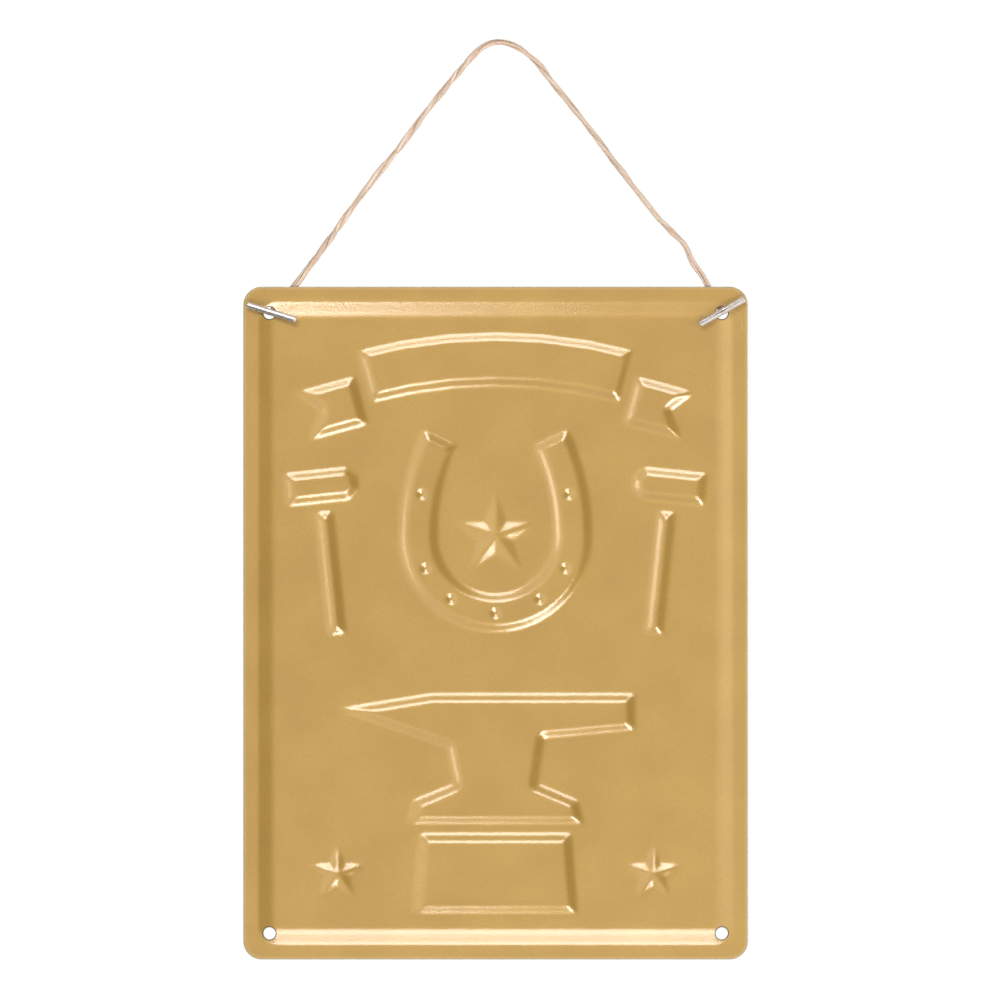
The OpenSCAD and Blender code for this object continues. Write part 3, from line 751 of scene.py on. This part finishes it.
def make_toggle(name, finish):
    """A strip rolled into a tube, pinched round the twine's end, with rolled-over ends."""
    side, slope = SIDES[name], math.radians(SLOPES[name])
    shift = SHIFTS[name]
    lean, height = seat(shift)
    half = TOGGLE_LEN / 2
    (end_reach, end_rings), (middle_from, middle_rings) = END_RINGS, MIDDLE_RINGS
    stations = np.concatenate([
        np.linspace(-half, -half + end_reach, end_rings),
        np.linspace(-half + middle_from, half - middle_from, middle_rings),
        np.linspace(half - end_reach, half, end_rings)])
    pinch = np.exp(-((stations + shift) / PINCH_LEN) ** 2)
    mouth = np.exp(-((half - np.abs(stations)) / MOUTH_LEN) ** 2)
    half_gap = (SEAM / 2 + PINCH_OPEN * pinch + MOUTH_OPEN * mouth) / TOGGLE_R
    wave = ROLL_WANDER * wander(stations, ROLL_WAVES, ROLL_SEED + side)
    points = []
    for radius, give in ((TOGGLE_R, OUTER_DROP), (TOGGLE_R - TOGGLE_WALL, -INNER_RISE)):
        for s, gap, pressed, wobble in zip(stations, half_gap, pinch, wave):
            end = max(0.0, 1 - (half - abs(s)) / END_LEN)
            lips = gap + np.array(LIP)
            round_it = np.linspace(gap + LIP_END, 2 * math.pi - gap - LIP_END, COLUMNS - 2 * len(LIP))
            for a in np.concatenate([lips, round_it, 2 * math.pi - lips[::-1]]):
                off_seam = min(a, 2 * math.pi - a)
                lip = math.exp(-(off_seam / LIP_REACH) ** 2)
                facing = math.exp(-(off_seam / PINCH_REACH) ** 2)
                r = radius + wobble - lip * LIP_DROP - facing * pressed * PINCH_DEPTH - give * end**2
                points.append((s, -r * math.cos(a), r * math.sin(a)))
    place = (Matrix.Translation((side * HOLE_X, RIM_BACK_Y - height, SWING_Z))
             @ Matrix.Rotation(slope, 4, "Y")
             @ Matrix.Rotation(-lean, 4, "Z")
             @ Matrix.Translation((shift, 0, 0))
             @ Matrix.Rotation(math.radians(ROLLED[name]) * side, 4, "X"))
    local = np.array(points)
    angle = np.arctan2(local[:, 2], local[:, 1])
    points = [tuple(place @ Vector(p)) for p in points]
    faces = strip_faces(len(stations), COLUMNS)
    toggle = mesh_object(f"{name}_rolled_toggle", points, faces, f"{name}_toggle")
    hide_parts(f"{name}_toggle")
    add_attribute(toggle, "grain", grain_of(local[:, 0], angle))
    toggle.data.materials.append(finish)


def feed(tree, target, inputs):
    """Sets a node's inputs. Each is a value, or another node's output socket."""
    for key, value in inputs.items():
        if isinstance(value, bpy.types.NodeSocket):
            tree.links.new(value, target.inputs[key])
        else:
            target.inputs[key].default_value = value


def node(tree, kind, inputs=None, **settings):
    """A new shader node with its settings and its inputs."""
    made = tree.nodes.new("ShaderNode" + kind)
    for key, value in settings.items():
        setattr(made, key, value)
    feed(tree, made, inputs or {})
    return made


def maths(tree, operation, *values):
    """The output of a math node."""
    return node(tree, "Math", dict(enumerate(values)), operation=operation).outputs[0]


def object_place(tree):
    """A point's place in its object's own space, in metres."""
    return node(tree, "TexCoord").outputs["Object"]


def new_material(name):
    material = bpy.data.materials.new(f"{name}_finish")
    material.use_nodes = True
    return material, material.node_tree, material.node_tree.nodes["Principled BSDF"]


def linear(r, g, b):
    """A colour from 0 to 255 as a display shows it, as the linear colour that Blender works in."""
    return tuple(c / 255 / 12.92 if c <= 10 else ((c / 255 + 0.055) / 1.055) ** 2.4 for c in (r, g, b)) + (1,)


def mixed(tree, factor, a, b):
    """The colour a, turned towards b by the factor. Each is a node's output, or a colour from 0 to 255."""
    a, b = (end if isinstance(end, bpy.types.NodeSocket) else linear(*end) for end in (a, b))
    return node(tree, "Mix", {0: factor, 6: a, 7: b}, data_type="RGBA").outputs[2]


def blended(tree, factor, a, b):
    """The value a, turned towards b by the factor."""
    return node(tree, "Mix", {0: factor, 2: a, 3: b}).outputs[0]


def ranged(tree, value, from_low, from_high, to_low=0.0, to_high=1.0, smooth=False):
    """The value, carried over from one range to another and kept inside it."""
    made = node(tree, "MapRange", {
        "Value": value, "From Min": from_low, "From Max": from_high, "To Min": to_low, "To Max": to_high,
    }, interpolation_type="SMOOTHSTEP" if smooth else "LINEAR")
    return made.outputs["Result"]


def noise(tree, where, scale, detail, roughness=0.5):
    made = node(tree, "TexNoise", {
        "Vector": where, "Scale": scale, "Detail": detail, "Roughness": roughness})
    return made.outputs["Fac"]


def attribute(tree, name, output="Fac"):
    return node(tree, "Attribute", attribute_name=name).outputs[output]


def stretched(tree, place, factors):
    return node(tree, "VectorMath", {0: place, 1: factors}, operation="MULTIPLY").outputs["Vector"]


def grain_place(tree, along, around):
    """A point's place in the grain, stretched by one factor along it and by the other round the piece."""
    return stretched(tree, attribute(tree, "grain", "Vector"), (along, around, around))


def bump(tree, height, distance, strength=1.0, **more):
    """A normal bent by a height. The distance is in metres."""
    inputs = {"Height": height, "Distance": distance, "Strength": strength}
    return node(tree, "Bump", inputs | more).outputs["Normal"]


GOLD_DARK, GOLD_LIGHT, GOLD_GRAIN = (186, 145, 66), (193, 152, 71), (159, 125, 51)
# The lacquer's paler colour near the plate's edge, then the painted shade round the holes
GOLD_EDGE_PALE, HOLE_SHADE = (206, 184, 138), (92, 74, 42)
# Scales of the lacquer's flakes, peel and mottling. The peel's grid is turned off the sheet's axes
FLAKE_SCALE, PEEL_SCALE, MOTTLE_SCALE, PEEL_TURN = 2600, 2300, 60, (0.6, 0.5, 0.7)


def gold_lacquer():
    """Satin gold lacquer with fine metal flakes, on the sheet's back, with painted shade round the holes."""
    material, tree, shader = new_material("gold_lacquer")
    where = object_place(tree)
    askew = node(tree, "Mapping", {"Vector": where, "Rotation": PEEL_TURN}).outputs["Vector"]
    flakes = noise(tree, where, FLAKE_SCALE, 2)
    peel = noise(tree, askew, PEEL_SCALE, 1)
    mottle = noise(tree, where, MOTTLE_SCALE, 3)
    base = mixed(tree, ranged(tree, mottle, 0.35, 0.65), GOLD_DARK, GOLD_LIGHT)
    base = mixed(tree, ranged(tree, flakes, 0.3, 0.7, 0.0, 0.42), base, GOLD_GRAIN)
    # A paler lacquer colour within about a millimetre of the plate's edge
    thin = ranged(tree, attribute(tree, "from_edge"), 0.1, 1.1, 0.4, 0.0)
    base = mixed(tree, thin, base, GOLD_EDGE_PALE)
    # Painted shade: a darker ring round each hole, stronger in patches
    ring = ranged(tree, attribute(tree, "from_hole"), 0.2, 0.42, 1.0, 0.0)
    hole_shade = maths(tree, "MULTIPLY", ring, ranged(tree, noise(tree, where, 330, 2), 0.3, 0.6, 0.35, 1.0))
    feed(tree, shader, {
        "Base Color": mixed(tree, hole_shade, base, HOLE_SHADE),
        "Metallic": 0.3,
        "Roughness": ranged(tree, flakes, 0.3, 0.7, 0.38, 0.48),
        "Normal": bump(tree, flakes, 0.00002, 0.5),
        "Coat Weight": 1.0,
        "Coat IOR": 1.7,
        "Coat Roughness": 0.11,
        "Coat Normal": bump(tree, peel, 0.00004),
    })
    return material


# Where a thin line has faded away, as a multiple of its half width
LINE_FADE = 1.5


def line_at(tree, distance, place, half_width):
    """1 on the thin line where the distance has the given value, 0 away from it."""
    off = maths(tree, "ABSOLUTE", maths(tree, "SUBTRACT", distance, place))
    return ranged(tree, off, half_width, half_width * LINE_FADE, 1.0, 0.0)


# Paints of the front: the zone, its lighter and its darker shade
PAINTS = (
    ("zone_ribbon", (160, 46, 36), (136, 34, 29)),
    ("zone_iron", (106, 112, 118), (80, 86, 93)),
    ("zone_anvil", (56, 62, 70), (36, 42, 50)),
    ("zone_wood", (150, 102, 62), (100, 62, 36)),
    ("zone_star", (216, 168, 60), (194, 142, 42)),
)
CREAM, AGED_CREAM, GREEN = (232, 219, 186), (214, 193, 148), (32, 66, 50)
INK, RUST, BARE, SPECKS = (38, 34, 32), (112, 78, 54), (158, 150, 134), (60, 48, 34)


def front_enamel():
    """Printed enamel on the front: a cream field, a green rim and motifs in plain old-fashioned colours."""
    material, tree, shader = new_material("front_enamel")
    where = object_place(tree)
    age = noise(tree, where, 45, 5, 0.6)
    fine = noise(tree, where, 2600, 2)
    chips = noise(tree, where, 420, 4)
    hammered = noise(tree, where, 260, 3)
    wood = noise(tree, stretched(tree, where, (1000, 1000, 60)), 1.0, 4, 0.6)
    rubs = maths(tree, "MULTIPLY", ranged(tree, chips, 0.58, 0.72),
                 ranged(tree, noise(tree, where, 90, 2), 0.5, 0.62))
    changes = {"zone_wood": wood, "zone_iron": hammered, "zone_anvil": hammered}
    colour = mixed(tree, ranged(tree, age, 0.4, 0.75), CREAM, AGED_CREAM)
    field = attribute(tree, "zone_field")
    colour = mixed(tree, line_at(tree, field, LINE_INSET, LINE_HALF), colour, GREEN)
    for zone, light, dark in PAINTS:
        depth = attribute(tree, zone)
        change = ranged(tree, changes.get(zone, age), 0.35, 0.65)
        paint = mixed(tree, change, light, dark)
        colour = mixed(tree, ranged(tree, depth, 0.1, 0.2), colour, paint)
        colour = mixed(tree, line_at(tree, depth, 0.1, 0.2), colour, INK)
        rubbed = maths(tree, "MULTIPLY", line_at(tree, depth, RELIEF_SLOPE * 0.9, 0.3), rubs)
        colour = mixed(tree, rubbed, colour, BARE)
    colour = mixed(tree, ranged(tree, field, -0.05, 0.05), GREEN, colour)
    wear = ranged(tree, attribute(tree, "from_edge"), 0.0, 1.6, 1.0, 0.0)
    worn = maths(tree, "MULTIPLY", wear, ranged(tree, chips, 0.45, 0.62))
    colour = mixed(tree, worn, colour, RUST)
    feed(tree, shader, {
        "Base Color": mixed(tree, ranged(tree, fine, 0.3, 0.7, 0.0, 0.12), colour, SPECKS),
        "Roughness": ranged(tree, age, 0.3, 0.7, 0.3, 0.42),
        "Normal": bump(tree, noise(tree, where, 1100, 2), 0.00003, 0.4),
        "Coat Weight": 0.4,
        "Coat Roughness": 0.2,
    })
    return material


# The last of these colours is the painted shade inside the holes
STEEL_DARK, STEEL_LIGHT, STEEL_HOLE_SHADE = (150, 140, 112), (184, 174, 146), (70, 66, 50)
NICKEL_LIGHT, NICKEL_DARK = (222, 214, 208), (196, 187, 180)


def cut_steel():
    """The sheet's cut edge: grey steel with fine shear marks, with painted shade inside the holes."""
    material, tree, shader = new_material("cut_steel")
    marks = noise(tree, object_place(tree), 2400, 3)
    base = mixed(tree, ranged(tree, marks, 0.35, 0.65), STEEL_DARK, STEEL_LIGHT)
    # Painted shade: darker steel inside the holes
    in_hole = ranged(tree, attribute(tree, "from_edge"), 2.0, 3.0)
    feed(tree, shader, {
        "Base Color": mixed(tree, in_hole, base, STEEL_HOLE_SHADE),
        "Metallic": 0.7,
        "Roughness": ranged(tree, marks, 0.3, 0.7, 0.3, 0.5),
        "Normal": bump(tree, marks, 0.00002, 0.5),
    })
    return material


def nickel():
    """Bright nickel plate with fine marks along the rolled strip."""
    material, tree, shader = new_material("nickel_plate")
    marks = noise(tree, grain_place(tree, 0.35, 9.0), 1.0, 2)
    spots = ranged(tree, noise(tree, object_place(tree), 900, 3), 0.45, 0.7)
    feed(tree, shader, {
        "Base Color": mixed(tree, spots, NICKEL_LIGHT, NICKEL_DARK),
        "Metallic": 1.0,
        "Roughness": ranged(tree, marks, 0.3, 0.7, 0.3, 0.38),
        "Normal": bump(tree, marks, 0.000004, 0.4),
    })
    return material


JUTE_DARK, JUTE_LIGHT, JUTE_LINE = (205, 174, 146), (243, 221, 199), (148, 112, 88)
# The first of these colours is the painted shade in the grooves between the plies
JUTE_GROOVE_SHADE, JUTE_PINK, JUTE_OLIVE = (118, 84, 66), (228, 186, 176), (136, 118, 82)
# The twine's duller right half: its colour, where along the twine it begins and is full, and its share
JUTE_DULL, DULL_FROM, DULL_TO, DULL_SHARE = (190, 166, 142), 95, 150, 0.3


def jute():
    """Pale jute: fibres along the plies, lighter and darker, with painted shade in the grooves between the
    plies.
    """
    material, tree, shader = new_material("jute_twine")
    broad = noise(tree, grain_place(tree, 0.07, 1.4), 1.0, 3, 0.55)
    thin = noise(tree, grain_place(tree, 0.13, 3.4), 1.0, 2, 0.5)
    base = mixed(tree, ranged(tree, broad, 0.36, 0.64), JUTE_DARK, JUTE_LIGHT)
    base = mixed(tree, ranged(tree, thin, 0.48, 0.68, 0.0, 0.5), base, JUTE_LINE)
    grain = node(tree, "SeparateXYZ", {"Vector": attribute(tree, "grain", "Vector")}).outputs
    dull = ranged(tree, grain["X"], DULL_FROM, DULL_TO, 0.0, DULL_SHARE)
    base = mixed(tree, dull, base, JUTE_DULL)
    # Painted shade along the grooves between the plies, stronger in patches
    depth = ranged(tree, noise(tree, grain_place(tree, 0.12, 0.5), 1.0, 2), 0.4, 0.62, 0.05, 0.8)
    groove = maths(tree, "MULTIPLY", line_at(tree, grain["Y"], 0.0, 0.14), depth)
    base = mixed(tree, groove, base, JUTE_GROOVE_SHADE)
    where = object_place(tree)
    pink = ranged(tree, noise(tree, where, 130, 2), 0.5, 0.72, 0.0, 0.4)
    base = mixed(tree, pink, base, JUTE_PINK)
    olive = ranged(tree, noise(tree, where, 330, 1), 0.66, 0.74, 0.0, 0.5)
    feed(tree, shader, {
        "Base Color": mixed(tree, olive, base, JUTE_OLIVE),
        "Roughness": 0.8,
        "Normal": bump(tree, thin, 0.00008, 0.8, Normal=bump(tree, broad, 0.0001, 0.6)),
        "Sheen Weight": 0.3,
    })
    return material


# The studio: a floor well below the sign, four soft boxes, and a pale room all round
FLOOR_Z, FLOOR_R, FLOOR_SIDES, FLOOR_COLOUR = -450.0, 2.2, 96, (236, 235, 233)
AMBIENT = 0.27
ROOM_BEHIND, ROOM_FRONT, ROOM_LEFT, ROOM_RIGHT = 1.0, 0.5, 0.12, 0.98
# Each soft box: azimuth to the right of the camera and elevation above it in degrees, distance from the sign,
# width and height in metres, and radiance
BOXES = {
    "upper_box": (-18, 31.5, 1.25, 0.5, 0.42, 10.6),
    "lower_box": (0, -33, 1.2, 0.5, 0.47, 6.7),
    "right_box": (66, 10, 0.75, 0.5, 0.42, 3.4),
    "front_box": (172, 30, 1.6, 1.2, 0.8, 5.6),
}


def make_lights():
    """The soft boxes, each turned to the middle of the plate. Its long side lies across."""
    middle = Vector((0, 0, PLATE_Z * MM))
    for name, (azimuth, elevation, distance, size_x, size_y, radiance) in BOXES.items():
        a, e = math.radians(azimuth), math.radians(elevation)
        data = bpy.data.lights.new(name, "AREA")
        data.shape = "RECTANGLE"
        data.size, data.size_y = size_x, size_y
        data.energy = radiance * math.pi * size_x * size_y
        light = bpy.data.objects.new(name, data)
        away = Vector((math.cos(e) * math.sin(a), -math.cos(e) * math.cos(a), math.sin(e)))
        light.location = middle + distance * away
        light.rotation_euler = (-away).to_track_quat("-Z", "Y").to_euler()
        scene.collection.objects.link(light)


def make_world():
    """White to the camera. Reflections see white behind the sign and a room in front, bright at the right."""
    scene.world = bpy.data.worlds.new("studio")
    scene.world.use_nodes = True
    tree = scene.world.node_tree
    tree.nodes.clear()
    ray = node(tree, "LightPath").outputs
    direction = node(tree, "TexCoord").outputs["Generated"]
    parts = node(tree, "SeparateXYZ", {"Vector": direction}).outputs
    left = ranged(tree, parts["X"], -0.5, 0.0, ROOM_LEFT, ROOM_FRONT, smooth=True)
    right = ranged(tree, parts["X"], 0.0, 0.3, 0.0, ROOM_RIGHT - ROOM_FRONT, smooth=True)
    behind = ranged(tree, parts["Y"], -0.35, 0.35, smooth=True)
    room = blended(tree, behind, maths(tree, "ADD", left, right), ROOM_BEHIND)
    shiny = maths(tree, "MAXIMUM", ray["Is Glossy Ray"], ray["Is Transmission Ray"])
    level = blended(tree, shiny, AMBIENT, room)
    seen = blended(tree, ray["Is Camera Ray"], level, 1.0)
    background = node(tree, "Background", {"Color": (1, 1, 1, 1), "Strength": seen})
    node(tree, "OutputWorld", {"Surface": background.outputs[0]})


def make_floor():
    """A pale round floor that keeps the sign's shadow and fades to white. The lower box shines through it."""
    angles = np.linspace(0, 2 * math.pi, FLOOR_SIDES, endpoint=False)
    rim = [(FLOOR_R * math.cos(a), FLOOR_R * math.sin(a), 0) for a in angles]
    mesh = bpy.data.meshes.new("floor")
    mesh.from_pydata(rim, [], [tuple(range(FLOOR_SIDES))])
    floor = bpy.data.objects.new("floor", mesh)
    floor.location = (0, 0, FLOOR_Z * MM)
    floor.visible_shadow = False
    floor.visible_glossy = False
    scene.collection.objects.link(floor)
    material, tree, shader = new_material("floor")
    feed(tree, shader, {"Base Color": linear(*FLOOR_COLOUR), "Roughness": 0.9, "Specular IOR Level": 0.1})
    away = node(tree, "VectorMath", {0: object_place(tree)}, operation="LENGTH").outputs["Value"]
    far = ranged(tree, away, 0.3, 1.5, 0.4, 1.0, smooth=True)
    share = maths(tree, "MULTIPLY", far, node(tree, "LightPath").outputs["Is Camera Ray"])
    white = node(tree, "Emission", {"Color": (1, 1, 1, 1), "Strength": 1.0}).outputs[0]
    blend = node(tree, "MixShader", {0: share, 1: shader.outputs[0], 2: white})
    feed(tree, tree.nodes["Material Output"], {"Surface": blend.outputs[0]})
    floor.data.materials.append(material)


make_camera()
twine_loop, twine_fibres, twine_centres, twine_at = make_twine()
twine_ends = [make_twine_end(name) for name in SIDES]
stray_fibre = make_stray_fibre()
twine_finish = jute()
for twine_piece in [twine_loop, twine_fibres, stray_fibre] + twine_ends:
    twine_piece.data.materials.append(twine_finish)

make_plate()
toggle_finish = nickel()
for toggle_name in SIDES:
    make_toggle(toggle_name, toggle_finish)

make_lights()
make_world()
make_floor()
scene.view_settings.view_transform = "Standard"
